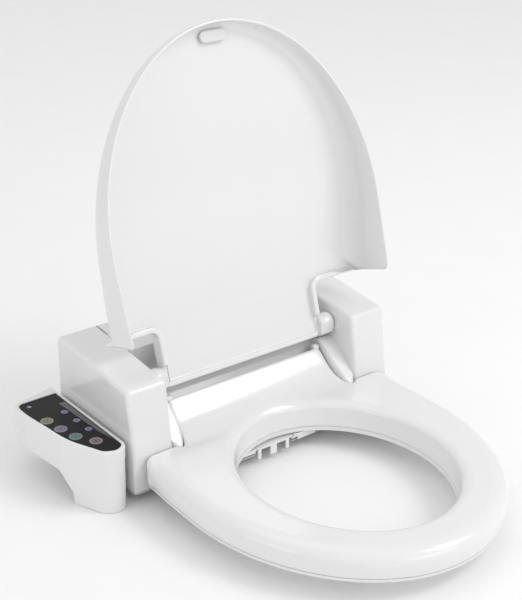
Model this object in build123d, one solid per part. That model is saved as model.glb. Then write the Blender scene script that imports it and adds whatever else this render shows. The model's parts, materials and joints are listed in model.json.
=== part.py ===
"""Electric bidet seat: a washing toilet seat with a raised lid and a side control arm.

Frame: millimetres, +Z up, +X to the sitter's left-hand side (away from the control arm),
front of the seat towards -Y. The origin lies on the bowl's top face, midway between the
two bowl fixing holes. The lid is modelled raised, the seat down.
"""
from build123d import *
import math
import os

os.makedirs("parts", exist_ok=True)

# ---- driving dimensions -------------------------------------------------------------
BODY_HALF = 194.4          # half width of the rear body
TOWER_IN = 139.8           # inner face of each side tower
FRONT_Y = -90.0            # front face of the towers where the seat meets them
TOWER_TOP_Y = -78.0        # front face of the towers at their top
REAR_Y = 76.0              # rear face of the body
TOWER_FRONT_Z = 129.0      # height of the tower's front edge
TOWER_REAR_Z = 140.5       # height of the body's rear edge
WALL = 2.8                 # moulded cover wall

SEAT_TOP = 48.0            # sitting face
SEAT_BOTTOM = 11.0         # underside of the seat ring
SEAM_Z = 17.0              # joint between the seat's two shells
SEAT_HALF = 188.0          # half width at the widest place
SEAT_WIDE_Y = -196.0
SEAT_FRONT_Y = -427.0
SEAT_REAR_Y = -91.2
SEAT_REAR_HALF = 184.0
HOLE_Y = -234.0            # centre of the seat opening
HOLE_HALF_X = 117.7
HOLE_HALF_Y = 136.8
HUMP_HALF = 117.6          # half width of the raised rear tongue of the seat
SEAT_AXIS = (-40.0, 79.0)  # seat hinge, (y, z)

LID_LIP_Z = 34.0           # lip plane of the closed lid
LID_REAR_Y = -94.0         # rear ends of the closed lid's side skirts
LID_OVER = 5.7             # lid skirt outside the seat outline
LID_TONGUE = 114.0         # half width of the lid between the towers
LID_TONGUE_Y = -24.0       # rear end of that tongue
LID_DEPTH_REAR = 70.0      # lip to inner panel at the rear
LID_DEPTH_TIP = 19.0       # and at the tip
LID_CURVE = 1.43           # how the depth falls towards the tip
LID_SKIN = 3.0
LID_AXIS = (-37.0, 108.0)  # lid hinge, (y, z)
LID_OPEN = 107.8           # opening angle, degrees

PIN_R = 4.0                # hinge pins
PIN_CLEAR = 0.05           # running clearance on a moving part
PIN_PRESS = 0.02           # clearance in a fixed part
BOSS_R = 14.0              # lid hinge boss
BOLT_SPACING = 140.0       # bowl fixing holes
BOLT_SLOT = 30.0           # their length along the row

NOZZLE_DIP = 25.0          # how steeply the wands run down, degrees
NOZZLE_TIP = (-87.0, -1.0)
NOZZLE_LENGTH = 108.0
NOZZLE_R = 5.6
NOZZLE_X = (-14.0, 10.0)

ARM_TOP = 68.0             # top deck of the control arm
ARM_INNER = -200.0         # inner edge of the arm
ARM_FLOOR = 25.0           # underside of the arm behind its leg
LEG_BOTTOM = -11.0
KEY_GAP = 0.3
SEAT_SCREWS = [(-150.0, -240.0), (150.0, -240.0), (-60.0, -398.0), (60.0, -398.0)]

BIG_KEY_R = 8.4
BIG_KEYS = [(-246.0, 15.2), (-242.4, -10.2), (-237.4, -35.0), (-223.8, -57.0)]
SMALL_KEY_R = 4.6
SMALL_KEYS = [(-218.6, 21.8), (-217.4, -3.8), (-216.6, -29.0)]
LAMP_AT = (-246.0, 57.0)
LAMP_R = 2.6

INLET_AT = (44.0, 30.0)    # water inlet axis, (y, z)
CHASSIS_SCREWS = [(-170.0, -60.0), (170.0, -60.0), (-130.0, 66.0), (130.0, 66.0)]


# ---- helpers ------------------------------------------------------------------------
def side_plate(points, x_low, x_high):
    """Extrude a closed (y, z) outline from x_low to x_high."""
    face = Plane.YZ.offset(x_low) * Polygon(*points, align=None)
    return extrude(face, x_high - x_low, dir=(1, 0, 0))


def lift(face, z_low, height):
    """Extrude a plan outline upwards from z_low."""
    return extrude(Pos(0, 0, z_low) * face, height, dir=(0, 0, 1))


def block(x_low, x_high, y_low, y_high, z_low, z_high):
    size = (x_high - x_low, y_high - y_low, z_high - z_low)
    centre = ((x_low + x_high) / 2, (y_low + y_high) / 2, (z_low + z_high) / 2)
    return Pos(*centre) * Box(*size)


def rod_x(radius, x_low, x_high, y, z):
    """A round bar along X."""
    return Pos((x_low + x_high) / 2, y, z) * Rot(0, 90, 0) * Cylinder(radius, x_high - x_low)


def rod_z(radius, z_low, z_high, x, y):
    return Pos(x, y, (z_low + z_high) / 2) * Cylinder(radius, z_high - z_low)


def both_sides(shape):
    return Compound(children=[*shape.solids(), *mirror(shape, Plane.YZ).solids()])


def group(*shapes):
    """Separate solids kept together in one node."""
    solids = []
    for shape in shapes:
        solids.extend(shape.solids())
    return Compound(children=solids)


def round_edges(shape, edges, *radii):
    """Fillet with the first radius that the geometry allows."""
    for radius in radii:
        try:
            rounded = fillet(edges, radius)
            if rounded.is_valid:
                return rounded
        except Exception:
            continue
    return shape


def save(name, shape):
    solids = shape.solids()
    shape = solids[0] if len(solids) == 1 else Compound(children=list(solids))
    shape.label = name
    export_step(shape, os.path.join("parts", name + ".step"))


# ---- rear body ----------------------------------------------------------------------
def fairing_plan(grow):
    """Plan outline of the cheek beside each seat hinge, on the +X side."""
    lens = Pos(132.0, -52.0) * Ellipse(12.4 + grow, 42.5 + grow)
    root = Pos(131.0 - grow / 2, -35.0) * Rectangle(22.8 + grow, 34.0)
    limit = Pos(TOWER_IN + 5.0, -60.0) * Rectangle(50.0, 120.0)
    return (lens + root) & limit


def tower_block(inset, bottom):
    """One side tower on the +X side as a solid, shrunk by inset for its cavity."""
    front = FRONT_Y + inset
    rear = REAR_Y - inset
    top = TOWER_REAR_Z - inset
    outline = [
        (front, bottom), (front, 48.0), (TOWER_TOP_Y + inset, TOWER_FRONT_Z - inset),
        (0.0, TOWER_FRONT_Z + 7.5 - inset), (rear - 6, top), (rear - 1.8, top - 1.8),
        (rear, top - 6), (rear, bottom),
    ]
    tower = side_plate(outline, TOWER_IN + inset, BODY_HALF - inset)
    outer = tower.edges().filter_by(
        lambda edge: edge.center().X > BODY_HALF - inset - 0.1 and edge.center().Z > 60)
    tower = round_edges(tower, outer, 15.0 - inset, 12.0 - inset, 5.0)
    inner = tower.edges().filter_by(
        lambda edge: edge.center().X < TOWER_IN + inset + 0.1 and edge.center().Z > 60
        and edge.center().Y < 40)
    tower = round_edges(tower, inner, 5.0 - inset * 0.8, 2.0)
    front_top = tower.edges().filter_by(
        lambda edge: abs(edge.center().Y - TOWER_TOP_Y) < 8 and edge.center().Z > 118
        and edge.length > 20)
    return round_edges(tower, front_top, 6.0 - inset, 3.0, 1.0)


def deck_block(inset, bottom):
    """The part of the body between the towers, shrunk by inset for its cavity."""
    rear = REAR_Y - inset
    top = TOWER_REAR_Z - inset
    outline = [
        (-102.0 + inset, bottom), (-102.0 + inset, 8.5 - inset / 3), (-86.0 + inset, 8.6 - inset / 3),
        (-64.0 + inset, 18.5 - inset / 3), (-50.0 + inset, 36.0 - inset / 2),
        (-43.0 + inset, 50.0 - inset), (-32.0 + inset, 52.0 - inset),
        (-31.0 + inset, 71.0 - inset), (-26.0 + inset, 77.0 - inset),
        (-12.0 + inset, 82.0 - inset), (-4.0 + inset, 94.0 - inset),
        (-2.0 + inset, 136.3 - inset), (rear - 6, top), (rear - 1.8, top - 1.8),
        (rear, top - 6), (rear, bottom),
    ]
    deck = side_plate(outline, -TOWER_IN - inset, TOWER_IN + inset)
    return deck - both_sides(block(75.0 - inset, TOWER_IN + inset, -110.0, -86.0, bottom - 1, 60.0))


def cheek_block():
    """Rounded cheek over the end of each seat hinge pin."""
    profile = [
        (-96.0, 3.5), (-96.0, 44.0), (-88.0, 51.0), (-77.0, 63.0), (-66.0, 73.0), (-54.0, 82.0),
        (-45.0, 87.0), (-38.0, 89.5), (-28.0, 86.0), (-20.0, 74.0), (-19.0, 3.5),
    ]
    cheek = side_plate(profile, 110.0, TOWER_IN + 1) & lift(fairing_plan(0.0), 0.0, 100.0)
    return round_edges(cheek, cheek.edges().filter_by(
        lambda edge: edge.center().Z > 45 and edge.center().X < 133), 6.0, 4.0, 2.0, 1.0)


def main_cover():
    cover = deck_block(0.0, 3.5) + both_sides(tower_block(0.0, 3.5) + cheek_block())
    cover -= both_sides(tower_block(WALL, 0.0))
    cover -= deck_block(WALL, 0.0)
    cover -= both_sides(block(TOWER_IN - 5, TOWER_IN + 5, -70.0, REAR_Y - 8, 0.0, 50.0))
    holes = rod_x(PIN_R + PIN_PRESS, 100.0, 150.0, *LID_AXIS)
    holes += rod_x(PIN_R + PIN_PRESS, 100.0, 150.0, *SEAT_AXIS)
    cover -= both_sides(holes)
    cover -= block(-28.0, 28.0, -110.0, -95.0, -1.0, 6.6)
    cover -= block(34.0, 66.0, -110.0, -95.0, 1.5, 6.6)
    cover -= block(-BODY_HALF - 1, -BODY_HALF + 5, -40.0, 30.0, 14.0, 40.0)
    cover -= rod_x(12.2, BODY_HALF - 6, BODY_HALF + 1, *INLET_AT)
    cover -= block(BODY_HALF - 6, BODY_HALF + 1, -8.3, 20.3, 9.7, 24.3)
    cover -= Pos(-150.0, REAR_Y, 30.0) * Rot(90, 0, 0) * Cylinder(8.0, 10.0)
    for step in range(7):
        cover -= block(96.0 + 6 * step, 99.0 + 6 * step, REAR_Y - 5, REAR_Y + 1, 60.0, 96.0)
    return cover


def base_chassis():
    """Floor tray with the pocket that slides over the mounting plate."""
    plate = block(-BODY_HALF + 0.4, BODY_HALF - 0.4, FRONT_Y + 0.4, REAR_Y - 0.4, 0.0, 3.3)
    plate = fillet(plate.edges().filter_by(Axis.Z), 6.0)
    plate += block(-74.6, 74.6, -101.6, FRONT_Y + 1, 0.0, 1.4)
    pocket = block(-99.0, 99.0, -41.0, REAR_Y + 1, -1.0, 7.2)
    roof = block(-102.0, 102.0, -44.0, REAR_Y - 3.4, 0.0, 10.0)
    plate = plate + roof - pocket
    ribs = [block(x, x + 2.0, -80.0, 70.0, 3.0, 9.0) for x in (-186.0, -112.0, 110.0, 184.0)]
    for rib in ribs:
        plate += rib
    plate -= block(-28.5, 28.5, -103.0, -58.0, -1.0, 4.0)
    plate -= block(35.5, 64.5, -103.0, -66.0, 1.2, 4.0)
    for x, y in CHASSIS_SCREWS:
        plate -= rod_z(1.92, -1.0, 4.0, x, y)
    return plate


def mounting_plate():
    """Slide-on bracket bolted to the bowl."""
    plate = block(-95.0, 95.0, -34.0, 34.0, 0.0, 6.0)
    plate = fillet(plate.edges().filter_by(Axis.Z), 8.0)
    plate = chamfer(plate.edges().group_by(Axis.Z)[-1], 1.2)
    for x in (-BOLT_SPACING / 2, BOLT_SPACING / 2):
        plate -= Pos(x, 0, 3.0) * extrude(SlotOverall(BOLT_SLOT, 11.0), 8.0, both=True)
        plate -= Pos(x, 0, 3.0) * extrude(SlotOverall(BOLT_SLOT + 10.0, 22.0), 4.0)
    plate -= block(-40.0, 40.0, -20.0, 20.0, 2.5, 7.0)
    return plate


def release_button():
    cap = block(BODY_HALF - 4.0, BODY_HALF + 2.5, -8.0, 20.0, 10.0, 24.0)
    cap = fillet(cap.edges().filter_by(Axis.X), 2.0)
    cap = fillet(cap.faces().sort_by(Axis.X)[-1].edges(), 1.2)
    return cap + block(BODY_HALF - 20.0, BODY_HALF - 3.9, 0.0, 12.0, 13.0, 20.0)


def release_spring():
    x_low, x_high = BODY_HALF - 34.0, BODY_HALF - 25.0
    return rod_x(3.0, x_low, x_high, 6.0, 16.5) - rod_x(2.0, x_low - 1, x_high + 1, 6.0, 16.5)


# ---- seat ---------------------------------------------------------------------------
def plan_outline(inset, rear_y, corner):
    """Closed oval outline of the seat, shrunk by inset."""
    half = SEAT_HALF - inset
    rear_half = SEAT_REAR_HALF - inset
    reach = SEAT_WIDE_Y - SEAT_FRONT_Y - inset
    front = EllipticalCenterArc((0, SEAT_WIDE_Y), half, reach, start_angle=180, arc_size=180)
    right = Spline((half, SEAT_WIDE_Y), (rear_half, rear_y), tangents=((0, 1), (-0.09, 1)))
    left = Spline((-half, SEAT_WIDE_Y), (-rear_half, rear_y), tangents=((0, 1), (0.09, 1)))
    back = Line((-rear_half, rear_y), (rear_half, rear_y))
    face = make_face([front, right, back, left])
    corners = face.vertices().group_by(Axis.Y)[-1]
    return fillet(corners, corner)


def hole_tool(grow, bottom, top):
    oval = Pos(0, HOLE_Y) * Ellipse(HOLE_HALF_X + grow, HOLE_HALF_Y + grow)
    return lift(oval, bottom, top - bottom)


def hump(inset, bottom):
    """Rear tongue of the seat, rising to the hinge."""
    rise = Spline(
        (-103.0, SEAT_TOP - 0.4 - inset), (-84.0 + inset / 2, 50.2 - inset),
        (-71.0 + inset / 2, 56.5 - inset), (-61.0 + inset / 2, 65.0 - inset),
        (-52.0, 75.5 - inset * 1.3), (-45.5 - inset / 3, 80.0 - inset * 1.5))
    end = rise @ 1
    start = rise @ 0
    down = Polyline(
        (end.X, end.Y), (-42.0 - inset, 79.0 - inset * 1.6), (-41.0 - inset, 74.0 - inset),
        (-46.0 - inset, 52.0), (-62.0, 28.0), (-84.0, bottom), (start.X, bottom),
        (start.X, start.Y))
    face = Plane.YZ.offset(-HUMP_HALF + inset) * make_face([rise, down])
    return extrude(face, 2 * (HUMP_HALF - inset), dir=(1, 0, 0))


def seat_trim(grow):
    """What the seat leaves free for the two cheeks."""
    return both_sides(lift(fairing_plan(1.3 + grow), -20.0, 140.0))


def seat_upper_shell():
    ring = lift(plan_outline(0.0, SEAT_REAR_Y, 15.0), SEAM_Z, SEAT_TOP - SEAM_Z)
    ring = round_edges(ring, ring.faces().sort_by(Axis.Z)[-1].edges(), 12.0, 9.0, 6.0)
    ring -= hole_tool(0.0, 0.0, 60.0)
    rim = ring.edges().filter_by(
        lambda edge: abs(edge.center().Z - SEAT_TOP) < 0.1
        and edge.bounding_box().max.X < HOLE_HALF_X + 3
        and edge.bounding_box().min.X > -HOLE_HALF_X - 3
        and edge.bounding_box().max.Y < SEAT_REAR_Y)
    ring = round_edges(ring, rim, 6.0, 4.0, 2.0)
    tongue = hump(0.0, SEAM_Z)
    shell = ring + (tongue - hole_tool(0.0, 0.0, 60.0)) - seat_trim(0.0)
    inner = lift(plan_outline(3.0, SEAT_REAR_Y - 3, 12.0), SEAM_Z - 1, SEAT_TOP - SEAM_Z - 2)
    inner = round_edges(inner, inner.faces().sort_by(Axis.Z)[-1].edges(), 9.0, 6.0)
    inner += hump(3.0, SEAM_Z - 1)
    inner = inner - hole_tool(3.0, 0.0, 90.0) - seat_trim(3.0)
    shell -= inner
    arm = side_plate([(-60.0, 60.0), (-50.0, 52.0), (-34.5, 75.5), (-42.0, 85.2), (-50.0, 76.0)],
                     109.0, HUMP_HALF)
    arm += rod_x(6.5, 109.0, HUMP_HALF, *SEAT_AXIS)
    arm -= rod_x(PIN_R + PIN_CLEAR, 111.0, HUMP_HALF + 1, *SEAT_AXIS)
    shell -= both_sides(rod_x(PIN_R + PIN_CLEAR, 111.0, HUMP_HALF + 1, *SEAT_AXIS))
    return shell + both_sides(arm)


def seat_lower_shell():
    tray = lift(plan_outline(2.6, SEAT_REAR_Y - 2.4, 12.0), SEAT_BOTTOM,
                SEAM_Z - SEAT_BOTTOM - 0.3)
    tray = round_edges(tray, tray.faces().sort_by(Axis.Z)[0].edges(), 4.0, 2.0)
    dish = lift(plan_outline(6.0, SEAT_REAR_Y - 6, 9.0), SEAT_BOTTOM + 2.6, 10.0)
    tray = tray - hole_tool(1.2, 0.0, 60.0) - (dish - hole_tool(4.6, 0.0, 60.0))
    apron = side_plate([(-97.0, 11.0), (-83.5, 13.6), (-59.8, 26.5), (-44.6, 49.3), (-46.5, 50.6),
                        (-61.7, 27.8), (-84.0, 16.6), (-97.0, 14.0)], -112.0, 112.0)
    tray += apron - hole_tool(1.2, 0.0, 60.0)
    for x, y in SEAT_SCREWS:
        tray -= rod_z(3.45, SEAT_BOTTOM - 1, SEAT_BOTTOM + 8, x, y)
    return tray - seat_trim(1.0)


def seat_heater():
    sheet = lift(plan_outline(18.0, -122.0, 8.0), 43.4, 0.6)
    return sheet - hole_tool(12.0, 0.0, 60.0)


def seat_bumpers():
    """Four soft feet that carry the seat on the bowl."""
    places = [(-140.0, -150.0), (140.0, -150.0), (-96.0, -345.0), (96.0, -345.0)]
    feet = []
    for x, y in places:
        foot = Pos(x, y, SEAT_BOTTOM / 2) * extrude(SlotOverall(34.0, 14.0), SEAT_BOTTOM / 2, both=True)
        foot = fillet(foot.faces().sort_by(Axis.Z)[0].edges(), 3.0)
        feet.append(foot)
    return group(*feet)


def seat_screws():
    screws = []
    for x, y in SEAT_SCREWS:
        screw = rod_z(3.4, SEAT_BOTTOM + 0.2, SEAT_BOTTOM + 2.4, x, y)
        screw -= rod_z(1.5, SEAT_BOTTOM - 1.0, SEAT_BOTTOM + 1.2, x, y)
        screws.append(screw)
    return group(*screws)


# ---- lid ----------------------------------------------------------------------------
def raise_lid(shape):
    """Turn the closed lid about its hinge to the raised position."""
    hinge = Axis((0, *LID_AXIS), (-1, 0, 0))
    return shape.rotate(hinge, LID_OPEN)


def lid_profile(extra, crown):
    """(y, z) points of the lid's top line, from the tip to the rear of the tongue."""
    length = LID_REAR_Y - (SEAT_FRONT_Y - LID_OVER)
    points = []
    for step in range(13):
        part = 1 - step / 12
        depth = LID_DEPTH_TIP + (LID_DEPTH_REAR - LID_DEPTH_TIP) * (1 - part) ** LID_CURVE
        bulge = crown * (1 - part) ** 2
        points.append((LID_REAR_Y - part * length, LID_LIP_Z + depth + extra + bulge))
    return points


def lid_slab(extra, crown):
    """Everything below the lid's top line."""
    top = lid_profile(extra, crown)
    curve = Spline(*top)
    frame = Polyline(top[-1], (LID_TONGUE_Y + 20, top[-1][1] + 0.8), (LID_TONGUE_Y + 20, 20.0),
                     (SEAT_FRONT_Y - 30, 20.0), (SEAT_FRONT_Y - 30, top[0][1] - 3), top[0])
    return extrude(Plane.YZ.offset(-220) * make_face([curve, frame]), 440.0, dir=(1, 0, 0))


def lid_block(inset, extra, crown, bottom):
    """The lid between its lip and its top line, shrunk by inset."""
    outline = plan_outline(inset - LID_OVER, LID_REAR_Y - max(0.0, inset - 0.01), 10.0)
    return lift(outline, bottom, 120.0) & lid_slab(extra, crown)


def lid_shell():
    outer = lid_block(0.0, LID_SKIN, 11.0, LID_LIP_Z)
    top_edges = outer.edges().filter_by(
        lambda edge: edge.center().Z > LID_LIP_Z + 12 and edge.center().Y < LID_REAR_Y - 5
        and edge.length > 60)
    outer = round_edges(outer, top_edges, 14.0, 10.0, 6.0, 3.0)
    inner = lid_block(LID_SKIN, -0.4, 9.0, LID_LIP_Z - 1)
    inner_edges = inner.edges().filter_by(
        lambda edge: edge.center().Z > LID_LIP_Z + 12 and edge.center().Y < LID_REAR_Y - 5
        and edge.length > 60)
    inner = round_edges(inner, inner_edges, 11.0, 8.0, 4.0, 2.0)
    tongue = block(-LID_TONGUE, LID_TONGUE, LID_REAR_Y - 30, LID_TONGUE_Y, 104.2, 130.0)
    tongue &= lid_slab(LID_SKIN, 11.0)
    tongue_inner = block(-LID_TONGUE + 3, LID_TONGUE - 3, LID_REAR_Y - 32, LID_TONGUE_Y - 3,
                         100.0, 130.0) & lid_slab(0.0, 11.0)
    open_rear = block(-LID_TONGUE + 3, LID_TONGUE - 3, LID_REAR_Y - 8, LID_REAR_Y + 1, 60.0, 104.0)
    shell = outer - inner + tongue - tongue_inner - open_rear
    notch = both_sides(block(LID_TONGUE + 8, 168.0, LID_REAR_Y - 3.5, LID_REAR_Y + 1, 30.0, 96.0))
    middle = block(-LID_TONGUE - 9, LID_TONGUE + 9, LID_REAR_Y - 3.5, LID_REAR_Y + 1, 30.0, 103.0)
    corner = both_sides(block(160.0, 187.8, LID_REAR_Y - 24.0, LID_REAR_Y + 1, 30.0, 64.0))
    shell = shell - notch - middle - corner
    boss = rod_x(BOSS_R, LID_TONGUE - 2.9, TOWER_IN - 1.0, *LID_AXIS)
    boss = round_edges(boss, boss.edges().sort_by(Axis.X)[-1:], 3.0)
    shell += both_sides(boss)
    shell -= both_sides(rod_x(PIN_R + PIN_CLEAR, 121.0, TOWER_IN + 1, *LID_AXIS))
    return raise_lid(shell)


def lid_inner_panel():
    """Flat inner face of the lid, welded inside the shell."""
    plan = plan_outline(LID_SKIN + 12.5 - LID_OVER, LID_REAR_Y - 4.0, 10.0)
    plan += Pos(0, (LID_REAR_Y - 30 + LID_TONGUE_Y - 3.3) / 2) * Rectangle(
        2 * LID_TONGUE - 6.6, LID_TONGUE_Y - 3.3 - LID_REAR_Y + 30)
    panel = lift(plan, 36.0, 90.0) & lid_slab(-0.6, 0.0)
    return raise_lid(panel - lid_slab(-3.0, 0.0))


def lid_bumper():
    """Soft pad near the lid's tip that lands on the seat."""
    pad = lift(Pos(0, LID_REAR_Y - 322.0) * SlotOverall(38.0, 14.0), SEAT_TOP + 0.3, 2.3)
    low = pad.faces().sort_by(Axis.Z)[0].edges()
    return raise_lid(fillet(low, 1.4))


# ---- hinges -------------------------------------------------------------------------
def lid_pins():
    return both_sides(rod_x(PIN_R, 124.0, 168.0, *LID_AXIS))


def seat_pins():
    return both_sides(rod_x(PIN_R, 112.0, 168.0, *SEAT_AXIS))


def damper(axis):
    """Oil-filled rotary damper round a hinge pin, inside the tower."""
    can = rod_x(11.0, 143.0, 176.0, *axis)
    can = fillet(can.edges().group_by(Axis.X)[-1], 2.0)
    can -= rod_x(PIN_R + PIN_PRESS, 140.0, 168.5, *axis)
    foot = block(146.0, 170.0, axis[0] + 8.0, axis[0] + 24.0, axis[1] - 4.0, axis[1] + 4.0)
    return both_sides(can + foot)


# ---- control arm --------------------------------------------------------------------
def arm_outline(inset):
    """Plan of the control arm."""
    inner = ARM_INNER - inset
    outer = Spline(
        (-258.5 + inset, 70.0 - inset), (-262.2 + inset, 50.0), (-257.8 + inset, 2.0),
        (-250.4 + inset, -45.0), (-238.0 + inset, -76.0 + inset / 3),
        (-222.0 + inset / 2, -92.0 + inset),
        tangents=((-0.9, -1.0), (1.0, -0.35)))
    tip = Spline((-222.0 + inset / 2, -92.0 + inset), (-207.0 - inset / 2, -89.5 + inset),
                 (inner, -76.0), tangents=((1.0, -0.35), (0.1, 1.0)))
    back = Polyline((inner, -76.0), (inner, 84.0 - inset), (-250.0 + inset, 74.0 - inset))
    corner = Line((-250.0 + inset, 74.0 - inset), (-258.5 + inset, 70.0 - inset))
    return make_face([outer, tip, back, corner])


def arm_below(floor, leg_rear):
    """The space under the arm, behind its leg."""
    face = Polygon((leg_rear, LEG_BOTTOM - 40), (leg_rear, floor - 22.0), (leg_rear + 22.0, floor),
                   (130.0, floor), (130.0, LEG_BOTTOM - 40), align=None)
    tool = extrude(Plane.YZ.offset(-300) * face, 130.0, dir=(1, 0, 0))
    bends = tool.edges().filter_by(Axis.X).filter_by(
        lambda edge: floor - 23.0 < edge.center().Z < floor + 0.1 and edge.center().Y < 100)
    return fillet(bends, 13.0)


def arm_lower_shell():
    body = lift(arm_outline(0.6), LEG_BOTTOM, 55.0 - LEG_BOTTOM)
    body -= arm_below(ARM_FLOOR, -46.0)
    hollow = lift(arm_outline(3.2), LEG_BOTTOM + 2.5, 80.0)
    hollow -= arm_below(ARM_FLOOR + 2.6, -48.6)
    neck = block(ARM_INNER - 1.0, -BODY_HALF + 3.0, -39.6, 29.6, 14.4, 39.6)
    hollow_neck = block(ARM_INNER - 5.0, -BODY_HALF + 4.0, -37.0, 27.0, 17.0, 37.0)
    return body - hollow + neck - hollow_neck


def key_holes(grow, z_low, z_high):
    tools = [rod_z(BIG_KEY_R + grow, z_low, z_high, x, y) for x, y in BIG_KEYS]
    tools += [rod_z(SMALL_KEY_R + grow, z_low, z_high, x, y) for x, y in SMALL_KEYS]
    return group(*tools)


def glass_outline(inset):
    """Plan of the black display plate, inside the arm's rim."""
    outline = arm_outline(4.2 + inset)
    keep = Pos(-230.0, -20.0) * Rectangle(120.0, 176.0 - 2 * inset)
    return outline & keep


def arm_upper_shell():
    body = lift(arm_outline(0.0), 55.3, ARM_TOP + 1.5 - 55.3)
    body = round_edges(body, body.faces().sort_by(Axis.Z)[-1].edges(), 1.6, 1.0, 0.6)
    body -= lift(arm_outline(2.8), 50.0, ARM_TOP - 2.4 - 50.0)
    body -= lift(glass_outline(-0.2), ARM_TOP - 1.2, 5.0)
    body -= key_holes(KEY_GAP + 0.4, 50.0, 80.0)
    body -= rod_z(LAMP_R + 0.02, 50.0, 80.0, *LAMP_AT)
    body -= window_block(0.02, 60.0)
    return body


def display_plate():
    plate = lift(glass_outline(0.0), ARM_TOP - 1.2, 1.7)
    plate -= key_holes(KEY_GAP, 50.0, 80.0)
    plate -= rod_z(LAMP_R + 0.02, 50.0, 80.0, *LAMP_AT)
    return plate - trim_strip()


def trim_strip():
    """Metallic band along the inner side of the display plate."""
    corners = [(-205.4, -66.0), (-205.4, 44.0), (-213.4, 44.0), (-210.0, -40.0)]
    return lift(Polygon(*corners, align=None), ARM_TOP - 0.3, 0.9)


def window_block(grow, z_low):
    """Receiver window across the rear of the arm's deck."""
    bar = Pos(-228.0, 74.2, 0) * Rot(0, 0, 12.5) * Rectangle(40.0 + 2 * grow, 3.4 + 2 * grow)
    return lift(bar, z_low, ARM_TOP + 1.4 - z_low)


def key(place, radius):
    """Push key: cap through the plate, wider flange below the deck."""
    x, y = place
    cap = rod_z(radius, ARM_TOP - 3.4, ARM_TOP + 0.9, x, y)
    cap = fillet(cap.edges().group_by(Axis.Z)[-1], 0.5)
    return cap + rod_z(radius + 1.2, ARM_TOP - 4.2, ARM_TOP - 2.9, x, y)


def arm_board():
    board = lift(arm_outline(6.0) & (Pos(-230, -4) * Rectangle(120, 136)), 58.4, 1.6)
    return board - rod_z(1.5, 50.0, 70.0, -208.0, 58.0)


def arm_switches():
    """One tact switch under each key."""
    parts = [block(x - 2.6, x + 2.6, y - 2.6, y + 2.6, 60.0, 62.9) for x, y in BIG_KEYS + SMALL_KEYS]
    return group(*parts)


def arm_screws():
    places = [(-206.8, -60.0), (-206.8, 66.0), (-248.0, 40.0)]
    return group(*[rod_z(2.6, 28.2 if y > 0 else -8.2, 31.0 if y > 0 else -5.4, x, y) for x, y in places])


# ---- water, air and electronics inside the body ----------------------------------------


def along_nozzle(x, start, length, radius):
    """A round bar on a wand's axis; start and length run backwards from the tip."""
    mid = start + length / 2
    dip = math.radians(NOZZLE_DIP)
    y = NOZZLE_TIP[0] + mid * math.cos(dip)
    z = NOZZLE_TIP[1] + mid * math.sin(dip)
    return Pos(x, y, z) * Rot(90 + NOZZLE_DIP, 0, 0) * Cylinder(radius, length)


def nozzle_cradle():
    """Trough that guides both wands from below."""
    span = (NOZZLE_X[0] + NOZZLE_X[1]) / 2
    dip = math.radians(NOZZLE_DIP)
    mid = 62.0
    y = NOZZLE_TIP[0] + mid * math.cos(dip)
    z = NOZZLE_TIP[1] + mid * math.sin(dip)
    body = Pos(span, y, z) * Rot(NOZZLE_DIP, 0, 0) * Pos(0, 0, -3.0) * Box(46.0, 84.0, 10.0)
    for x in NOZZLE_X:
        body -= along_nozzle(x, -10.0, 150.0, NOZZLE_R + 0.3)
    return body


def nozzle_wand(x):
    wand = along_nozzle(x, 0.0, NOZZLE_LENGTH, NOZZLE_R)
    wand = fillet(wand.edges().sort_by(Axis.Y)[:1], 2.5)
    dip = math.radians(NOZZLE_DIP)
    jet_y = NOZZLE_TIP[0] + 10.0 * math.cos(dip)
    jet_z = NOZZLE_TIP[1] + 10.0 * math.sin(dip)
    wand -= Pos(x, jet_y, jet_z + 6.0) * Cylinder(1.2, 8.0)
    return wand


def nozzle_guard():
    """Bracket under the seat's rear rim, where the wands come out."""
    guard = block(-26.0, 22.0, -104.5, -102.3, -5.0, 9.0)
    for x in NOZZLE_X:
        guard -= block(x - 7.2, x + 7.2, -106.0, -100.0, -9.0, 7.4)
    return guard


def nozzle_motor():
    can = Pos(-44.0, -22.0, 36.0) * Rot(0, 90, 0) * Cylinder(10.0, 16.0)
    return can + rod_x(2.0, -36.5, -30.0, -22.0, 36.0)


def nozzle_gear():
    gear = rod_x(7.0, -34.0, -30.5, -22.0, 36.0)
    for turn in range(0, 360, 30):
        tooth = Pos(-32.25, -22.0, 36.0) * Rot(turn, 0, 0) * Pos(0, 7.2, 0) * Box(3.5, 2.4, 1.8)
        gear += tooth
    return gear - rod_x(2.02, -40.0, -30.0, -22.0, 36.0)


def water_tank():
    tank = block(-120.0, -52.0, 8.0, 66.0, 12.0, 112.0)
    tank = fillet(tank.edges().filter_by(Axis.Z), 10.0)
    tank = fillet(tank.edges().group_by(Axis.Z)[-1], 5.0)
    cavity = block(-117.5, -54.5, 10.5, 63.5, 14.5, 109.5)
    cavity = fillet(cavity.edges().filter_by(Axis.Z), 8.0)
    return tank - cavity


def heating_element():
    """Hairpin heater standing in the tank."""
    rods = rod_z(3.5, 15.0, 90.0, -96.0, 37.0) + rod_z(3.5, 15.0, 90.0, -76.0, 37.0)
    bend = Pos(-86.0, 37.0, 90.0) * Rot(90, 0, 0) * Torus(10.0, 3.5)
    bend &= block(-106.0, -66.0, 20.0, 60.0, 90.0, 120.0)
    return rods + bend


def float_switch():
    return rod_z(7.0, 60.0, 74.0, -66.0, 20.0) - rod_z(2.2, 50.0, 80.0, -66.0, 20.0)


def float_stem():
    return rod_z(2.0, 14.5, 109.5, -66.0, 20.0)


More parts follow.
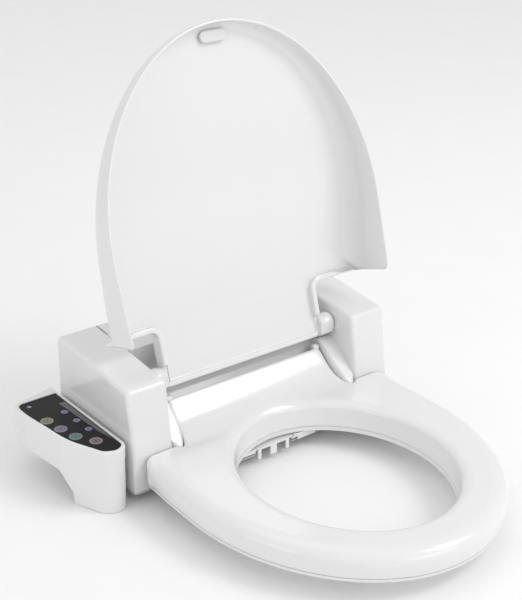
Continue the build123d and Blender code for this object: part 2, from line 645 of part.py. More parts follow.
def inlet_fitting():
    """Threaded water inlet on the side opposite the control arm."""
    tube = rod_x(10.3, BODY_HALF - 14.0, BODY_HALF + 16.0, *INLET_AT)
    tube += rod_x(12.0, BODY_HALF - 16.0, BODY_HALF - 0.5, *INLET_AT)
    for turn in range(6):
        x = BODY_HALF + 4.0 + 1.8 * turn
        tube -= rod_x(10.6, x, x + 0.8, *INLET_AT) - rod_x(9.6, x - 1, x + 2, *INLET_AT)
    return tube - rod_x(7.0, BODY_HALF - 20.0, BODY_HALF + 20.0, *INLET_AT)


def inlet_filter():
    mesh = rod_x(6.6, BODY_HALF - 10.0, BODY_HALF + 10.0, *INLET_AT)
    return mesh - rod_x(5.6, BODY_HALF - 8.0, BODY_HALF + 12.0, *INLET_AT)


def inlet_valve():
    body = block(146.0, 177.6, 32.0, 56.0, 18.0, 42.0)
    body = fillet(body.edges().filter_by(Axis.X), 3.0)
    body -= rod_x(7.0, 160.0, 180.0, *INLET_AT)
    return body + rod_z(9.0, 41.5, 62.0, 158.0, 44.0)


def fan_housing():
    drum = rod_x(32.0, 60.0, 92.0, 30.0, 64.0) + block(60.0, 92.0, -1.0, 30.0, 32.2, 50.0)
    drum -= rod_x(29.0, 62.5, 93.0, 30.0, 64.0)
    drum -= block(62.5, 89.5, -3.0, 34.0, 35.0, 47.5)
    return drum


def fan_wheel():
    """Squirrel-cage wheel of the warm-air dryer."""
    wheel = rod_x(24.0, 66.0, 68.0, 30.0, 64.0)
    for turn in range(0, 360, 20):
        wheel += Pos(76.0, 30.0, 64.0) * Rot(turn, 0, 0) * Pos(0, 21.5, 0) * Rot(35, 0, 0) * Box(17.0, 5.0, 1.0)
    ring = rod_x(24.0, 84.0, 86.0, 30.0, 64.0) - rod_x(18.5, 83.0, 87.0, 30.0, 64.0)
    hub = rod_x(5.0, 66.0, 84.0, 30.0, 64.0)
    return wheel + ring + hub - rod_x(2.05, 60.0, 90.0, 30.0, 64.0)


def fan_motor():
    can = rod_x(15.0, 96.0, 122.0, 30.0, 64.0)
    shaft = rod_x(2.0, 68.0, 97.0, 30.0, 64.0)
    flange = rod_x(31.0, 93.3, 96.2, 30.0, 64.0)
    return can + flange + shaft


def air_duct():
    """Warm-air duct from the fan to the outlet beside the nozzles."""
    outer = side_plate([(-96.0, 1.8), (-96.0, 6.4), (-84.0, 6.6), (-60.0, 16.6), (-45.0, 31.0),
                        (-36.0, 44.0), (-1.3, 49.5), (-1.3, 32.6), (-34.0, 31.0), (-54.0, 12.0),
                        (-72.0, 4.2)], 36.0, 64.0)
    inner = side_plate([(-97.0, 2.9), (-97.0, 5.4), (-85.0, 5.4), (-61.0, 14.8), (-46.0, 28.8),
                        (-35.0, 42.0), (0.0, 47.5), (0.0, 34.6), (-33.0, 33.0), (-53.0, 14.4),
                        (-73.0, 5.3)], 38.0, 62.0)
    return outer - inner


def air_heater():
    """Flat coil former across the duct."""
    bars = [block(39.0, 61.0, -24.0 + 5 * i, -22.4 + 5 * i, 36.0, 42.2) for i in range(4)]
    spine = block(49.0, 51.0, -24.0, -7.4, 35.0, 36.4)
    heater = spine
    for bar in bars:
        heater += bar
    return heater


def air_flap():
    flap = block(36.0, 64.0, -104.3, -102.6, 1.6, 7.6)
    return flap + rod_x(1.4, 35.0, 65.0, -103.6, 8.6)


def flap_hanger():
    ears = block(30.5, 34.6, -105.2, -102.2, 6.6, 10.4) + block(65.4, 69.5, -105.2, -102.2, 6.6, 10.4)
    return ears


def deodoriser():
    case = block(104.0, 136.0, -30.0, 58.0, 12.0, 46.0)
    case = fillet(case.edges().filter_by(Axis.Y), 3.0)
    for step in range(8):
        case -= block(108.0, 132.0, -24.0 + 10 * step, -18.0 + 10 * step, 42.0, 50.0)
    return case


def main_board():
    return block(-40.0, 52.0, 62.0, 64.0, 14.0, 108.0)


def board_parts():
    """Relays, capacitors and a connector standing on the main board."""
    relays = [block(-34.0 + 18 * i, -22.0 + 18 * i, 46.0, 62.0, 78.0, 98.0) for i in range(3)]
    caps = [Pos(-26.0 + 16 * i, 50.0, 50.0) * Rot(90, 0, 0) * Cylinder(6.0, 24.0) for i in range(3)]
    plug = [block(24.0, 46.0, 54.0, 62.0, 20.0, 30.0)]
    return group(*relays, *caps, *plug)


def transformer():
    core = block(-182.0, -146.0, 0.0, 40.0, 12.0, 56.0)
    core = chamfer(core.edges().filter_by(Axis.Y), 2.0)
    return core + block(-178.0, -150.0, 6.0, 34.0, 8.0, 60.0)


def power_gland():
    """Strain-relief bush in the rear wall for the mains lead."""
    bush = Pos(-150.0, REAR_Y - 1.0, 30.0) * Rot(90, 0, 0) * Cylinder(7.97, 7.6)
    lip = Pos(-150.0, REAR_Y + 1.5, 30.0) * Rot(90, 0, 0) * Cylinder(10.5, 3.0)
    return bush + lip - Pos(-150.0, REAR_Y, 30.0) * Rot(90, 0, 0) * Cylinder(3.6, 30.0)


def chassis_screws():
    return group(*[rod_z(1.9, 0.0, 12.0, x, y) for x, y in CHASSIS_SCREWS])


def main():
    save("main_cover", main_cover())
    save("base_chassis", base_chassis())
    save("mounting_plate", mounting_plate())
    save("release_button", release_button())
    save("release_spring", release_spring())
    save("seat_upper_shell", seat_upper_shell())
    save("seat_lower_shell", seat_lower_shell())
    save("seat_heater", seat_heater())
    save("seat_bumpers", seat_bumpers())
    save("seat_screws", seat_screws())
    save("lid_shell", lid_shell())
    save("lid_inner_panel", lid_inner_panel())
    save("lid_bumper", lid_bumper())
    save("lid_pins", lid_pins())
    save("seat_pins", seat_pins())
    save("lid_dampers", damper(LID_AXIS))
    save("seat_dampers", damper(SEAT_AXIS))
    save("arm_lower_shell", arm_lower_shell())
    save("arm_upper_shell", arm_upper_shell())
    save("display_plate", display_plate())
    save("trim_strip", trim_strip())
    save("receiver_window", window_block(0.0, ARM_TOP - 1.0))
    save("lamp_lens", rod_z(LAMP_R, ARM_TOP - 3.0, ARM_TOP + 0.6, *LAMP_AT))
    for number, place in enumerate(BIG_KEYS, 1):
        save(f"wash_key_{number}", key(place, BIG_KEY_R))
    for number, place in enumerate(SMALL_KEYS, 1):
        save(f"set_key_{number}", key(place, SMALL_KEY_R))
    save("arm_board", arm_board())
    save("arm_switches", arm_switches())
    save("arm_screws", arm_screws())
    save("nozzle_cradle", nozzle_cradle())
    save("nozzle_rear_wash", nozzle_wand(NOZZLE_X[0]))
    save("nozzle_front_wash", nozzle_wand(NOZZLE_X[1]))
    save("nozzle_guard", nozzle_guard())
    save("nozzle_motor", nozzle_motor())
    save("nozzle_gear", nozzle_gear())
    save("water_tank", water_tank())
    save("heating_element", heating_element())
    save("float_switch", float_switch())
    save("float_stem", float_stem())
    save("inlet_fitting", inlet_fitting())
    save("inlet_filter", inlet_filter())
    save("inlet_valve", inlet_valve())
    save("fan_housing", fan_housing())
    save("fan_wheel", fan_wheel())
    save("fan_motor", fan_motor())
    save("air_duct", air_duct())
    save("air_heater", air_heater())
    save("air_flap", air_flap())
    save("flap_hanger", flap_hanger())
    save("deodoriser", deodoriser())
    save("main_board", main_board())
    save("board_parts", board_parts())
    save("transformer", transformer())
    save("power_gland", power_gland())
    save("chassis_screws", chassis_screws())


main()
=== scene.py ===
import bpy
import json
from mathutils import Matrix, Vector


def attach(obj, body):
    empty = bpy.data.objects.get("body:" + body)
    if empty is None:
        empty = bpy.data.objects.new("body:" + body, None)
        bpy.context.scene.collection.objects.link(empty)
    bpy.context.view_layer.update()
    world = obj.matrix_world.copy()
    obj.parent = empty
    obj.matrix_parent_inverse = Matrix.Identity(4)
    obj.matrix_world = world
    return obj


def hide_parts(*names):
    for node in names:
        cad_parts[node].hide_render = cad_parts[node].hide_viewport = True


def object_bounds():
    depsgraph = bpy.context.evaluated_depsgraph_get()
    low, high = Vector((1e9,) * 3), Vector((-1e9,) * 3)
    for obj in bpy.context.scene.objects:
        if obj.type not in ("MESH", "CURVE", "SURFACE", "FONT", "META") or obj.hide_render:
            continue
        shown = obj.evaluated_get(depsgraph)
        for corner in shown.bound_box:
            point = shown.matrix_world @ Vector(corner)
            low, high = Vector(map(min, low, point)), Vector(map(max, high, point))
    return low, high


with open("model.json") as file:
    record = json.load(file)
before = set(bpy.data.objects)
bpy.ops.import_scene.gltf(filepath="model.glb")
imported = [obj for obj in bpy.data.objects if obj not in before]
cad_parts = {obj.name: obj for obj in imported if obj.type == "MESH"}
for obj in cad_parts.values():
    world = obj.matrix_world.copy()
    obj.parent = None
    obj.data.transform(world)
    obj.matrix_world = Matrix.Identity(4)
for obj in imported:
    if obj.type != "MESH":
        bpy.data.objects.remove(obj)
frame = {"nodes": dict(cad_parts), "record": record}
CAD_BOX = [list(corner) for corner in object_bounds()]

import json
import math

import bmesh
import bpy
import numpy as np
from mathutils import Matrix, Vector

MM = 0.001

# ---- sizes shared with the CAD frame, in millimetres ----------------------------------
SEAT_TOP, SEAM = 48.0, 17.2
SEAT_HALF, SEAT_REAR_HALF, SEAT_WIDE_Y = 188.0, 184.0, -196.0
SEAT_FRONT_Y, SEAT_REAR_Y = -427.0, -91.2
HOLE_Y, HOLE_X, HOLE_L = -234.0, 117.7, 136.8
TONGUE_HALF, TONGUE_REAR = 117.6, -43.6
CHEEK = (132.0, -52.0, 12.4, 42.5)
LIP, LID_REAR, LID_TONGUE, LID_TONGUE_Y = 34.0, -94.0, 119.0, -24.0
LID_OVER, LID_SKIN, LID_RIM = 5.7, 3.0, 7.0
LID_LONG = LID_REAR - (SEAT_FRONT_Y - LID_OVER)
LID_HINGE, LID_OPEN = (-37.0, 108.0), math.radians(107.8)
SEAT_HINGE = (-40.0, 79.0)
SEAT_CLIMB = (-101.0, 57.0, 35.0, 2.05)     # start y, run, rise and curve of the rear ramp
HOLE_LEAN, HOLE_EDGE = 3.0, (14.0, 9.0)     # slope of the opening's wall; width and drop of its edge
LID_DEPTH, LID_CURVE = (19.0, 51.0), 1.43   # depth at the tip, and what it gains to the rear
LID_BULGE, LID_SIDE_BULGE = 11.0, 1.5
HEM_TONGUE, HEM_NOTCH = 103.0, 96.0         # lower edge of the lid along its rear
LIP_END, NOTCH_R, TONGUE_R = 10.0, 9.0, 8.0
BIG_KEYS = [(-246.0, 15.2), (-242.4, -10.2), (-237.4, -35.0), (-223.8, -57.0)]
SMALL_KEYS = [(-218.6, 21.8), (-217.4, -3.8), (-216.6, -29.0)]


# ---- materials --------------------------------------------------------------------------
def new_material(name):
    material = bpy.data.materials.new(name)
    material.use_nodes = True
    return material, material.node_tree.nodes, material.node_tree.links


def moulded(name, color, rough=0.16, coat=0.35, grain=900.0, bump=0.03, vary=0.012, metallic=0.0):
    """Moulded plastic or metal: faint colour drift, uneven gloss and a very fine skin."""
    material, nodes, links = new_material(name)
    shader = nodes["Principled BSDF"]
    shader.inputs["Metallic"].default_value = metallic
    shader.inputs["Coat Weight"].default_value = coat
    shader.inputs["Coat Roughness"].default_value = 0.06
    place = nodes.new("ShaderNodeTexCoord")
    drift = nodes.new("ShaderNodeTexNoise")
    drift.inputs["Scale"].default_value = 14.0
    drift.inputs["Detail"].default_value = 3.0
    links.new(place.outputs["Object"], drift.inputs["Vector"])
    tint = nodes.new("ShaderNodeValToRGB")
    low = [max(0.0, c * (1 - vary)) for c in color]
    high = [min(1.0, c * (1 + vary)) for c in color]
    tint.color_ramp.elements[0].color = (*low, 1)
    tint.color_ramp.elements[1].color = (*high, 1)
    links.new(drift.outputs["Fac"], tint.inputs["Fac"])
    links.new(tint.outputs["Color"], shader.inputs["Base Color"])
    gloss = nodes.new("ShaderNodeMapRange")
    gloss.inputs["To Min"].default_value = rough * 0.85
    gloss.inputs["To Max"].default_value = rough * 1.2
    links.new(drift.outputs["Fac"], gloss.inputs["Value"])
    links.new(gloss.outputs["Result"], shader.inputs["Roughness"])
    skin = nodes.new("ShaderNodeTexNoise")
    skin.inputs["Scale"].default_value = grain
    links.new(place.outputs["Object"], skin.inputs["Vector"])
    relief = nodes.new("ShaderNodeBump")
    relief.inputs["Strength"].default_value = bump
    relief.inputs["Distance"].default_value = 0.0004
    links.new(skin.outputs["Fac"], relief.inputs["Height"])
    links.new(relief.outputs["Normal"], shader.inputs["Normal"])
    return material


def key_material(name, tint, centre, radius):
    """Push key under gloss: tinted disc, brighter ring and a simple mark in the middle."""
    material, nodes, links = new_material(name)
    shader = nodes["Principled BSDF"]
    shader.inputs["Roughness"].default_value = 0.12
    shader.inputs["Coat Weight"].default_value = 0.6
    place = nodes.new("ShaderNodeTexCoord")
    shift = nodes.new("ShaderNodeVectorMath")
    shift.operation = "SUBTRACT"
    shift.inputs[1].default_value = (centre[0] * MM, centre[1] * MM, 0)
    links.new(place.outputs["Object"], shift.inputs[0])
    flat = nodes.new("ShaderNodeVectorMath")
    flat.operation = "MULTIPLY"
    flat.inputs[1].default_value = (1 / (radius * MM), 1 / (radius * MM), 0)
    links.new(shift.outputs[0], flat.inputs[0])
    far = nodes.new("ShaderNodeVectorMath")
    far.operation = "LENGTH"
    links.new(flat.outputs[0], far.inputs[0])
    ramp = nodes.new("ShaderNodeValToRGB")
    ramp.color_ramp.interpolation = "EASE"
    dark = [c * 0.35 for c in tint]
    light = [min(1.0, c * 1.3 + 0.05) for c in tint]
    stops = [(0.0, dark), (0.22, dark), (0.28, light), (0.36, tint), (0.60, tint), (0.78, light),
             (0.86, light), (0.93, [0.01, 0.01, 0.012])]
    elements = ramp.color_ramp.elements
    elements[0].position, elements[1].position = stops[0][0], stops[-1][0]
    elements[0].color, elements[1].color = (*stops[0][1], 1), (*stops[-1][1], 1)
    for at, color in stops[1:-1]:
        elements.new(at).color = (*color, 1)
    links.new(far.outputs["Value"], ramp.inputs["Fac"])
    links.new(ramp.outputs["Color"], shader.inputs["Base Color"])
    return material


WHITE = moulded("white gloss", (0.80, 0.80, 0.80), rough=0.17, coat=0.5, bump=0.015)
FINISHES = {
    "white_gloss": WHITE,
    "grey_plastic": moulded("grey plastic", (0.52, 0.53, 0.54), rough=0.5, coat=0.0, bump=0.15),
    "black_plastic": moulded("black plastic", (0.035, 0.035, 0.037), rough=0.45, coat=0.0, bump=0.2),
    "black_gloss": moulded("black gloss", (0.002, 0.002, 0.003), rough=0.3, coat=0.0, bump=0.0),
    "grey_metallic": moulded("grey metallic", (0.13, 0.13, 0.14), rough=0.38, grain=2500, metallic=0.5),
    "smoked_window": moulded("smoked window", (0.05, 0.05, 0.055), rough=0.35, coat=0.0),
    "lamp": moulded("lamp", (0.22, 0.21, 0.30), rough=0.2, coat=0.6),
    "soft_rubber": moulded("soft rubber", (0.72, 0.72, 0.72), rough=0.42, coat=0.0, bump=0.1),
    "steel": moulded("drawn steel", (0.60, 0.60, 0.60), rough=0.28, coat=0.0, metallic=1.0),
    "steel_core": moulded("core steel", (0.22, 0.22, 0.23), rough=0.42, coat=0.0, metallic=0.9),
    "foil": moulded("foil", (0.80, 0.80, 0.82), rough=0.3, coat=0.0, metallic=1.0),
    "board_green": moulded("board green", (0.03, 0.22, 0.08), rough=0.35, grain=300),
    "nozzle_plastic": moulded("nozzle plastic", (0.80, 0.80, 0.81), rough=0.15, coat=0.4),
    "brass_metal": moulded("brass", (0.72, 0.52, 0.22), rough=0.25, coat=0.0, metallic=1.0),
}
TINTS = [(0.13, 0.12, 0.06), (0.11, 0.07, 0.13), (0.05, 0.11, 0.13), (0.12, 0.09, 0.11)]


# dark panels under clear plastic mirror less of the room
for dark in ("black_gloss", "smoked_window"):
    FINISHES[dark].node_tree.nodes["Principled BSDF"].inputs["Specular IOR Level"].default_value = 0.2


def dress_nodes():
    """Every CAD node that stays in view gets the finish of its slot."""
    slots = {part["node"]: part["material_slot"] for part in frame["record"]["subparts"]}
    keys = {}
    for number, (place, tint) in enumerate(zip(BIG_KEYS, TINTS), 1):
        keys[f"wash_key_{number}"] = (tint, place, 8.4)
    for number, place in enumerate(SMALL_KEYS, 1):
        keys[f"set_key_{number}"] = ((0.12, 0.11, 0.26), place, 4.6)
    for name, node in frame["nodes"].items():
        if name in keys:
            material = key_material(name + " finish", *keys[name])
        else:
            material = FINISHES.get(slots.get(name), WHITE)
        node.data.materials.clear()
        node.data.materials.append(material)


# ---- mesh helpers -----------------------------------------------------------------------
def grid_object(name, columns, material):
    """A closed ring of point columns (mm); neighbouring columns are joined by faces."""
    columns = np.asarray(columns, dtype=float) * MM
    count, rows = columns.shape[:2]
    faces = []
    for i in range(count):
        j = (i + 1) % count
        for k in range(rows - 1):
            faces.append((i * rows + k, j * rows + k, j * rows + k + 1, i * rows + k + 1))
    mesh = bpy.data.meshes.new(name)
    mesh.from_pydata(columns.reshape(-1, 3).tolist(), [], faces)
    build = bmesh.new()
    build.from_mesh(mesh)
    bmesh.ops.remove_doubles(build, verts=build.verts, dist=1e-6)
    bmesh.ops.recalc_face_normals(build, faces=build.faces)
    build.to_mesh(mesh)
    build.free()
    mesh.shade_smooth()
    obj = bpy.data.objects.new(name, mesh)
    obj.data.materials.append(material)
    bpy.context.scene.collection.objects.link(obj)
    return obj


def spun_bar(name, profile, hinge, material, around=64, flat=None):
    """A turned piece about an X-axis line; profile is (x, radius) pairs."""
    columns = []
    for turn in np.linspace(0, 2 * math.pi, around, endpoint=False):
        column = []
        for x, radius in profile:
            y, z = radius * math.cos(turn), radius * math.sin(turn)
            if flat is not None:
                y = max(y, flat)
            column.append((x, hinge[0] + y, hinge[1] + z))
        columns.append(column)
    return grid_object(name, columns, material)


def slab_piece(name, outline, x_low, x_high, material, soft=1.2):
    """A plate cut to a (y, z) outline between two x values, with softened edges."""
    build = bmesh.new()
    lower = [build.verts.new((x_low * MM, y * MM, z * MM)) for y, z in outline]
    upper = [build.verts.new((x_high * MM, y * MM, z * MM)) for y, z in outline]
    build.faces.new(lower)
    build.faces.new(upper[::-1])
    for i in range(len(outline)):
        j = (i + 1) % len(outline)
        build.faces.new((lower[i], upper[i], upper[j], lower[j]))
    bmesh.ops.recalc_face_normals(build, faces=build.faces)
    bmesh.ops.bevel(build, geom=build.edges[:], offset=soft * MM, segments=3, affect="EDGES",
                    profile=0.5)
    mesh = bpy.data.meshes.new(name)
    build.to_mesh(mesh)
    build.free()
    mesh.shade_smooth()
    obj = bpy.data.objects.new(name, mesh)
    obj.data.materials.append(material)
    bpy.context.scene.collection.objects.link(obj)
    return obj


def arc(centre, radius, start, end, count=10):
    turns = np.radians(np.linspace(start, end, count))
    return [(centre[0] + radius * math.cos(t), centre[1] + radius * math.sin(t)) for t in turns]


def resample(points, step):
    """Points at an even spacing along a closed outline."""
    points = np.vstack([points, points[:1]])
    gaps = np.hypot(*np.diff(points, axis=0).T)
    keep = np.concatenate([[True], gaps > 1e-6])
    points = points[keep]
    along = np.concatenate([[0], np.cumsum(np.hypot(*np.diff(points, axis=0).T))])
    places = np.linspace(0, along[-1], int(along[-1] / step), endpoint=False)
    return np.column_stack([np.interp(places, along, points[:, i]) for i in (0, 1)])


def normals_of(outline):
    """Outward normals of an outline that runs anticlockwise."""
    ahead = np.roll(outline, -1, axis=0) - np.roll(outline, 1, axis=0)
    ahead /= np.linalg.norm(ahead, axis=1)[:, None]
    return np.column_stack([ahead[:, 1], -ahead[:, 0]])


def nearest(points, outline):
    """Distance from each point to an outline, and the index of its nearest vertex."""
    distance = np.full(len(points), np.inf)
    index = np.zeros(len(points), dtype=int)
    count = len(outline)
    for i in range(count):
        a, b = outline[i], outline[(i + 1) % count]
        edge = b - a
        t = np.clip(((points - a) @ edge) / (edge @ edge), 0, 1)
        gap = np.linalg.norm(points - a - t[:, None] * edge, axis=1)
        nearer = gap < distance
        distance[nearer] = gap[nearer]
        index[nearer] = i
    return distance, index


def spread(angle, rounds):
    """Evens out the turn from one spoke to the next round a full circle."""
    for _ in range(rounds):
        before = np.concatenate([[angle[-1] - 2 * math.pi], angle[:-1]])
        after = np.concatenate([angle[1:], [angle[0] + 2 * math.pi]])
        angle = (before + angle + after) / 3
    return angle


def smoothed(values, rounds):
    """Averages each value with its neighbours round a closed loop."""
    for _ in range(rounds):
        values = (np.roll(values, 1) + values + np.roll(values, -1)) / 3
    return values


def half_outline(over, rear_y, corner):
    """Right-hand half of the oval, from the front tip to the start of the rear edge."""
    half = SEAT_HALF + over
    turns = np.linspace(-math.pi / 2, 0, 120)
    reach = SEAT_WIDE_Y - SEAT_FRONT_Y + over
    points = [(half * math.cos(t), SEAT_WIDE_Y + reach * math.sin(t)) for t in turns]
    drop = SEAT_HALF - SEAT_REAR_HALF
    for y in np.linspace(SEAT_WIDE_Y + 4, rear_y - corner, 20):
        part = (y - SEAT_WIDE_Y) / (rear_y - SEAT_WIDE_Y)
        points.append((half - drop * part ** 2, y))
    side_x = points[-1][0]
    points += arc((side_x - corner, rear_y - corner), corner, 8, 90)
    return points


def mirrored(points):
    """A closed anticlockwise outline from its right-hand half."""
    left = [(-x, y) for x, y in points[::-1]]
    return np.array(points + left)


def rounding(distance, width, height):
    """How far a rounded edge has dropped at a distance from the wall."""
    part = np.clip(1 - distance / width, 0, 1)
    return height * (1 - np.sqrt(1 - part ** 2))


def blend_between(value, low, high):
    part = np.clip((value - low) / (high - low), 0, 1)
    return part * part * (3 - 2 * part)


# ---- seat ---------------------------------------------------------------------------------
def seat_outline():
    """Plan of the seat, with a clear gap round each cheek."""
    points = half_outline(0.0, SEAT_REAR_Y, 15.0)
    cx, cy, rx, ry = CHEEK[0], CHEEK[1], CHEEK[2] + 1.3, CHEEK[3] + 1.3
    start = math.degrees(math.asin((SEAT_REAR_Y - cy) / ry))
    for turn in np.radians(np.linspace(start, -180, 40)):
        points.append((cx + rx * math.cos(turn), cy + ry * math.sin(turn)))
    points += arc((TONGUE_HALF - 5, TONGUE_REAR - 5), 5.0, 0, 90, 8)
    return resample(mirrored(points), 2.2)


def seat_height(points):
    """Sitting face: level, then climbing to the hinge."""
    start, run, rise, curve = SEAT_CLIMB
    climb = np.clip((points[:, 1] - start) / run, 0, 1)
    return SEAT_TOP + rise * climb ** curve


def seat_floor(y):
    """Height of the seat's lower edge, which lifts towards the hinge."""
    return np.interp(y, [-84.0, -62.0, -47.0, -44.0, -43.0], [SEAM, 28.4, 51.0, 64.0, 68.0])


def build_seat():
    outline = seat_outline()
    outward = normals_of(outline)
    centre = np.array([0.0, HOLE_Y])
    ray = outline - centre
    angle = np.unwrap(np.arctan2(ray[:, 1] / HOLE_L, ray[:, 0] / HOLE_X))
    angle = spread(angle, 12)
    spoke = np.column_stack([np.cos(angle), np.sin(angle)])
    hole = centre + spoke * (HOLE_X, HOLE_L)
    hole_top = centre + spoke * (HOLE_X + HOLE_LEAN, HOLE_L + HOLE_LEAN)
    away = (hole_top - hole) / HOLE_LEAN
    length = np.linalg.norm(outline - hole_top, axis=1)
    along = (outline - hole_top) / length[:, None]
    inner_steps = np.array([0, 0.25, 0.7, 1.4, 2.4, 3.8, 5.6, 8.0, 11.0, 14.5])
    outer_steps = np.array([24, 19, 15, 12, 9.5, 7.2, 5.4, 3.9, 2.7, 1.7, 0.9, 0.35, 0])
    middle = np.linspace(0, 1, 8)[1:-1]
    rear = blend_between(outline[:, 1], -112.0, -94.0)
    tongue = (np.abs(outline[:, 0]) < TONGUE_HALF + 0.5) & (outline[:, 1] > -60)
    back = outline[:, 1] > TONGUE_REAR - 4
    width = 19.0 + (4.0 - 19.0) * rear
    height = 14.0 + (3.4 - 14.0) * rear
    width = smoothed(np.where(back | tongue, 6.0, width), 10)
    height = smoothed(np.where(back, 4.6, np.where(tongue, 5.0, height)), 10)
    turns = np.linspace(0, 2 * np.pi, 300, endpoint=False)
    hole_loop = resample(centre + np.column_stack([
        (HOLE_X + HOLE_LEAN) * np.cos(turns), (HOLE_L + HOLE_LEAN) * np.sin(turns)]), 4.0)
    rows = []
    offsets = [("in", s) for s in inner_steps] + [("mid", m) for m in middle]
    offsets += [("out", s) for s in outer_steps]
    for kind, value in offsets:
        if kind == "in":
            place = hole_top + along * value
        elif kind == "out":
            place = outline - along * value
        else:
            start, end = inner_steps[-1], length - outer_steps[0]
            place = hole_top + along * (start + (end - start) * value)[:, None]
        from_edge, index = nearest(place, outline)
        from_hole, _ = nearest(place, hole_loop)
        level = seat_height(place)
        level -= rounding(from_edge, width[index], height[index])
        level -= rounding(from_hole, *HOLE_EDGE)
        rows.append(np.column_stack([place, level]))
    inner_top, outer_top = rows[0], rows[-1]
    head = [np.column_stack([hole + away * inset, np.full(len(hole), SEAM + lift)])
            for inset, lift in ((2.5, 9), (2.4, 0.4), (1.8, 0), (0.9, 0), (0.6, 0.5))]
    for part in np.linspace(0.15, 0.97, 7):
        flat = hole + away * (0.6 + (HOLE_LEAN - 0.6) * part)
        head.append(np.column_stack([flat, SEAM + (inner_top[:, 2] - SEAM) * part]))
    floor = seat_floor(outline[:, 1])
    tail = []
    for part in np.linspace(0.04, 0.96, 7):
        tuck = 2.2 * part ** 3 * (1 - rear)
        flat = outline - outward * tuck[:, None]
        tail.append(np.column_stack([flat, outer_top[:, 2] + (floor - outer_top[:, 2]) * part]))
    for inset, lift in ((2.6, 0.0), (3.4, 0.0), (4.4, 0.6), (4.6, 8.0)):
        push = inset * (1 - rear) + (inset - 1.6) * rear
        flat = outline - outward * push[:, None]
        tail.append(np.column_stack([flat, floor + lift]))
    columns = np.stack(head + rows + tail, axis=1)
    seat = grid_object("seat_top", columns, WHITE)
    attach(seat, "seat")
    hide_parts("seat_upper_shell")
    turned = ((109.0, 0.0), (109.0, 4.4), (109.6, 4.9), (116.8, 4.9), (117.3, 4.5), (117.3, 4.1))
    web_shape = [(-58.0, 56.0), (-48.5, 52.0), (-35.6, 75.0), (-41.0, 81.5), (-49.0, 73.0)]
    for side, word in ((-1, "left"), (1, "right")):
        profile = [(side * x, r) for x, r in turned]
        knuckle = spun_bar(f"seat_knuckle_{word}", profile, SEAT_HINGE, WHITE)
        x_low, x_high = sorted((side * 109.4, side * 117.0))
        web = slab_piece(f"seat_web_{word}", web_shape, x_low, x_high, WHITE)
        for piece in (knuckle, web):
            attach(piece, "seat")


# ---- lid ------------------------------------------------------------------------------------
def lid_outline():
    """Plan of the lid with its notched rear corners and its tongue."""
    points = half_outline(LID_OVER, LID_REAR, 3.5)
    points += arc((LID_TONGUE + NOTCH_R, LID_REAR + NOTCH_R), NOTCH_R, 270, 180, 9)
    points += arc((LID_TONGUE - TONGUE_R, LID_TONGUE_Y - TONGUE_R), TONGUE_R, 0, 90, 8)
    return mirrored(points)


def lid_depth(y):
    """How far the lid's inner face stands above its lip."""
    part = np.clip((LID_REAR - y) / LID_LONG, 0, 1)
    return LID_DEPTH[0] + LID_DEPTH[1] * (1 - part) ** LID_CURVE


def lid_crown(x, y):
    """Extra bulge of the lid's outer face."""
    part = np.clip((LID_REAR - y) / LID_LONG, 0, 1)
    rear_bulge = LID_BULGE * (1 - part) ** 2 * (1 - (np.abs(x) / 215.0) ** 2)
    return rear_bulge + LID_SIDE_BULGE * (1 - (x / 195.0) ** 2)


def raised(points):
    """Closed-lid points turned to the raised position."""
    y, z = points[..., 1] - LID_HINGE[0], points[..., 2] - LID_HINGE[1]
    c, s = math.cos(LID_OPEN), math.sin(LID_OPEN)
    turned = points.copy()
    turned[..., 1] = LID_HINGE[0] + y * c + z * s
    turned[..., 2] = LID_HINGE[1] - y * s + z * c
    return turned


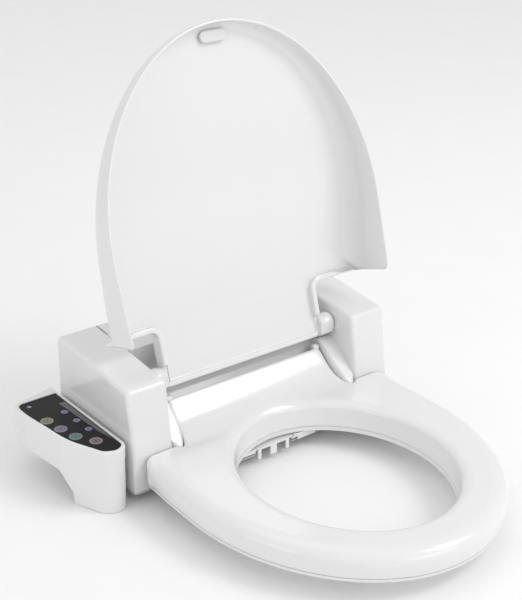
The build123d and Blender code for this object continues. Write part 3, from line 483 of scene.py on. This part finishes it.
def build_lid():
    outer = resample(lid_outline(), 2.4)
    outward = normals_of(outer)
    centre = np.array([0.0, HOLE_Y])
    x, y = outer[:, 0], outer[:, 1]
    # the walls are thin beside the raised seat, and thick where they rim the rear notches
    side_skin = np.where(y > LID_REAR - 32, 2.0, LID_SKIN)
    skin = smoothed(np.where((y > LID_REAR - 6) & (np.abs(x) < 158), LID_RIM, side_skin), 6)
    inner = outer - outward * skin[:, None]
    on_rear = y > LID_REAR - 1.0
    side_part = np.clip((LID_REAR - y) / LID_LONG, 0, 1)
    width = 13.0 + 27.0 * (1 - side_part) ** 1.3
    height = np.minimum(0.9 * width, lid_depth(y) - 1.0)
    width = np.where(on_rear, 4.0, width)
    height = np.where(on_rear, 3.4, height)
    in_width = np.where(on_rear, 2.5, 12.0 + 16.0 * (1 - side_part))
    in_height = np.where(on_rear, 1.6, np.minimum(0.8 * in_width, lid_depth(y) - 7.0))
    notched = (np.abs(x) > LID_TONGUE + 1) | (y < -52.0)
    past = np.clip(y - (LID_REAR - LIP_END), 0, LIP_END - 0.1)
    side_hem = LIP + LIP_END - np.sqrt(LIP_END ** 2 - past ** 2)
    hem = np.where(on_rear, np.where(notched, HEM_NOTCH, HEM_TONGUE), side_hem)
    width, height, in_width, in_height = (
        smoothed(values, 3) for values in (width, height, in_width, in_height))
    near_steps = np.array([52, 43, 35, 28, 22.5, 18, 14, 10.5, 7.6, 5.2, 3.3, 1.9, 0.9, 0.3, 0])
    far_parts = np.linspace(0, 1, 14)[1:-1]

    def face_rows(border, base, widths, heights):
        """Rings of one face of the lid, from the middle out to its border."""
        ray = border - centre
        reach = np.linalg.norm(ray, axis=1)
        along = ray / reach[:, None]
        rows = []
        for part in np.concatenate([[0.002], far_parts]):
            rows.append(centre + along * ((reach - near_steps[0]) * part)[:, None])
        for step in near_steps:
            rows.append(border - along * step)
        solid = []
        for place in rows:
            gap, index = nearest(place, border)
            level = base(place) - rounding(gap, widths[index], heights[index])
            solid.append(np.column_stack([place, level]))
        return solid

    top = face_rows(outer, lambda p: LIP + lid_depth(p[:, 1]) + LID_SKIN + lid_crown(p[:, 0], p[:, 1]),
                    width, height)
    under = face_rows(inner, lambda p: LIP + lid_depth(p[:, 1]), in_width, in_height)
    columns = list(top)
    for part in np.linspace(0.1, 1.0, 8):
        columns.append(np.column_stack([outer, top[-1][:, 2] + (hem + 1.3 - top[-1][:, 2]) * part]))
    for part, lift in ((0.10, 0.4), (0.33, 0.0), (0.67, 0.0), (0.90, 0.4)):
        columns.append(np.column_stack([outer - outward * (skin * part)[:, None], hem + lift]))
    for part in np.linspace(0.0, 0.92, 8):
        columns.append(np.column_stack([inner, hem + 1.3 + (under[-1][:, 2] - hem - 1.3) * part]))
    columns += under[::-1]
    lid = grid_object("lid_body", raised(np.stack(columns, axis=1)), WHITE)
    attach(lid, "lid")
    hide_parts("lid_shell", "lid_inner_panel")
    for side, word in ((-1, "left"), (1, "right")):
        profile = [(side * px, r) for px, r in
                   ((117.0, 0.0), (117.0, 12.6), (118.4, 14.0), (134.6, 14.0), (136.6, 13.4),
                    (138.0, 12.2), (138.8, 10.4), (138.8, 4.1))]
        boss = spun_bar(f"lid_boss_{word}", profile, LID_HINGE, WHITE, around=96, flat=-11.5)
        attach(boss, "lid")


# ---- floor, light and camera ---------------------------------------------------------------
def build_stage():
    mesh = bpy.data.meshes.new("floor")
    size = 30.0
    low = CAD_BOX[0][2] - 0.0005
    corners = [(-size, -size, low), (size, -size, low), (size, size, low), (-size, size, low)]
    mesh.from_pydata(corners, [], [(0, 1, 2, 3)])
    floor = bpy.data.objects.new("floor", mesh)
    floor.data.materials.append(moulded("floor white", (0.93, 0.93, 0.93), rough=0.9, coat=0.0, bump=0.0))
    bpy.context.scene.collection.objects.link(floor)


def area_light(name, place, target, size, power):
    light = bpy.data.lights.new(name, "AREA")
    light.shape = "RECTANGLE"
    light.size, light.size_y = size
    light.energy = power
    lamp = bpy.data.objects.new(name, light)
    lamp.location = place
    lamp.rotation_euler = (Vector(target) - Vector(place)).to_track_quat("-Z", "Y").to_euler()
    bpy.context.scene.collection.objects.link(lamp)


def build_light():
    world = bpy.data.worlds.new("studio")
    world.use_nodes = True
    world.node_tree.nodes["Background"].inputs["Color"].default_value = (1, 1, 1, 1)
    world.node_tree.nodes["Background"].inputs["Strength"].default_value = 0.78
    bpy.context.scene.world = world
    middle = (0.0, -0.15, 0.15)
    area_light("key", (1.3, -1.5, 2.3), middle, (1.1, 1.1), 20.0)
    area_light("front", (0.5, -2.7, 1.3), middle, (1.8, 1.0), 8.0)
    area_light("left", (-2.6, -0.3, 0.9), middle, (1.2, 1.0), 4.5)
    area_light("top", (-0.1, 0.5, 2.6), middle, (1.8, 1.2), 3.0)
    bpy.context.scene.view_settings.view_transform = "Standard"


def build_camera():
    """Camera at the photograph's angle: azimuth, elevation, roll and distance."""
    az, el, roll = math.radians(-38.25), math.radians(24.92), math.radians(0.83)
    target = Vector((-32.67, -113.68, 213.97)) * MM
    back = Vector((math.sin(az) * math.cos(el), -math.cos(az) * math.cos(el), math.sin(el)))
    right = Vector((math.cos(az), math.sin(az), 0))
    up = back.cross(right)
    turned_right = right * math.cos(roll) + up * math.sin(roll)
    turned_up = up * math.cos(roll) - right * math.sin(roll)
    camera = bpy.data.objects.new("camera", bpy.data.cameras.new("camera"))
    camera.data.lens = 83.1
    camera.data.sensor_width = 36.0
    camera.data.clip_end = 100.0
    matrix = Matrix((turned_right, turned_up, back)).transposed().to_4x4()
    matrix.translation = target + back * 1580.57 * MM
    camera.matrix_world = matrix
    bpy.context.scene.collection.objects.link(camera)
    bpy.context.scene.camera = camera


dress_nodes()
build_seat()
build_lid()
build_stage()
build_light()
build_camera()
